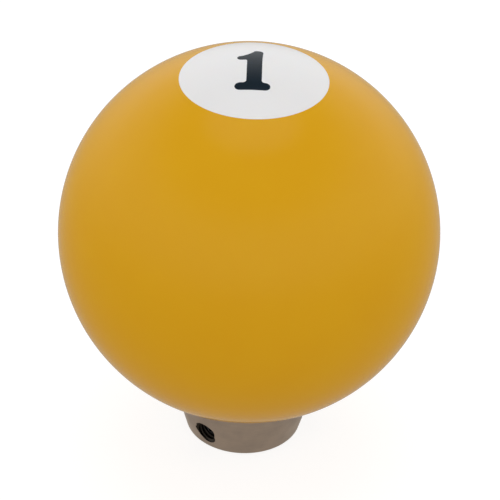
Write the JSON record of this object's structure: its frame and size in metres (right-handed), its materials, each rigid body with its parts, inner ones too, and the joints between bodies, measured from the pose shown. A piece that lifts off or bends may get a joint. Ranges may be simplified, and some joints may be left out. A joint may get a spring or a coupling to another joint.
{
  "type": "gear lever knob",
  "caption": "Pool-ball gear lever knob: yellow ball with an inlaid number on a tapered metal collar, with a threaded bush that takes the lever.",
  "frame": {"origin": "centre of the collar's bottom face, on the knob's axis", "axes": "+Z along the knob's axis from the collar towards the number; the number's top is towards +Y and it reads upright from -Y"},
  "size_m": [0.0572, 0.0572, 0.0642],
  "materials": {
    "yellow_resin": "polished cast resin",
    "white_resin": "polished cast resin",
    "black_resin": "polished cast resin",
    "insert_brass": "turned and knurled",
    "nickel_plated_steel": "fine-turned, satin nickel plate",
    "bush_brass": "turned",
    "black_oxide_steel": "black oxide"
  },
  "bodies": {
    "knob": {"ball_body": "yellow_resin", "number_disc": "white_resin", "numeral_one": "black_resin", "threaded_insert": "insert_brass", "collar": "nickel_plated_steel"},
    "lever_bush": {"lever_bush": "bush_brass"},
    "grub_screw_1": {"grub_screw_1": "black_oxide_steel"},
    "grub_screw_2": {"grub_screw_2": "black_oxide_steel"},
    "grub_screw_3": {"grub_screw_3": "black_oxide_steel"}
  },
  "joints": [
    {"name": "bush_turn", "type": "hinge", "parent": "knob", "child": "lever_bush", "pos_m": [0, 0, 0.009], "axis": [0, 0, 1], "continuous": true},
    {"name": "grub_screw_1_out", "type": "slide", "parent": "knob", "child": "grub_screw_1", "axis": [-0.5878, -0.809, 0], "range_m": [0, 0.0014]},
    {"name": "grub_screw_2_out", "type": "slide", "parent": "knob", "child": "grub_screw_2", "axis": [0.9945, -0.1045, 0], "range_m": [0, 0.0014]},
    {"name": "grub_screw_3_out", "type": "slide", "parent": "knob", "child": "grub_screw_3", "axis": [-0.4067, 0.9135, 0], "range_m": [0, 0.0014]}
  ]
}
